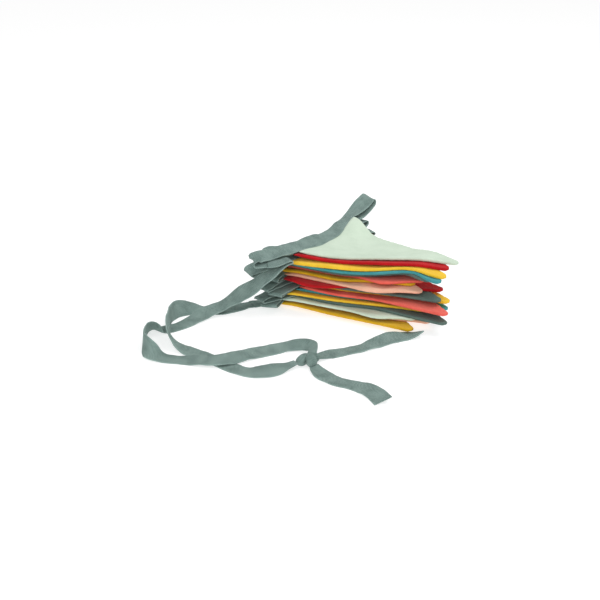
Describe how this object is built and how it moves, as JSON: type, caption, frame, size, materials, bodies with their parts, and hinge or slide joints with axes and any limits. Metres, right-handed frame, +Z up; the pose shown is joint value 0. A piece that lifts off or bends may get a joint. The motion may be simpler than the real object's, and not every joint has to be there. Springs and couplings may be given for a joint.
{
  "type": "fabric bunting",
  "caption": "Triangular cloth pennants on one long twill tape, folded zig-zag into a fanned stack, with the tape's ends knotted and lying in loops beside it.",
  "frame": {"origin": "centre of the whole footprint on the surface it lies on", "axes": "+Z up; +X to the right and -Y towards the front view, in which the stack lies behind and its two ties come forward"},
  "size_m": [0.3864, 0.4668, 0.1023],
  "materials": {
    "mint_cloth": "matt plain weave",
    "red_cloth": "matt plain weave",
    "yellow_cloth": "matt plain weave",
    "teal_cloth": "matt plain weave",
    "sage_cloth": "matt plain weave",
    "coral_cloth": "matt plain weave",
    "mustard_cloth": "matt plain weave",
    "peach_cloth": "matt plain weave",
    "twill_tape": "matt herringbone twill"
  },
  "bodies": {
    "root": {"pennant_01": "mint_cloth", "pennant_02": "red_cloth", "pennant_03": "yellow_cloth", "pennant_04": "teal_cloth", "pennant_05": "sage_cloth", "pennant_06": "coral_cloth", "pennant_07": "mustard_cloth", "pennant_08": "peach_cloth", "pennant_09": "red_cloth", "pennant_10": "sage_cloth", "pennant_11": "yellow_cloth", "pennant_12": "coral_cloth", "pennant_13": "teal_cloth", "pennant_14": "yellow_cloth", "pennant_15": "sage_cloth", "pennant_16": "mint_cloth", "pennant_17": "peach_cloth", "pennant_18": "mustard_cloth", "heading_tape": "twill_tape", "tie_upper": "twill_tape", "tie_lower": "twill_tape", "tie_end_right": "twill_tape", "tie_end_front": "twill_tape", "tie_knot": "twill_tape"}
  },
  "joints": []
}
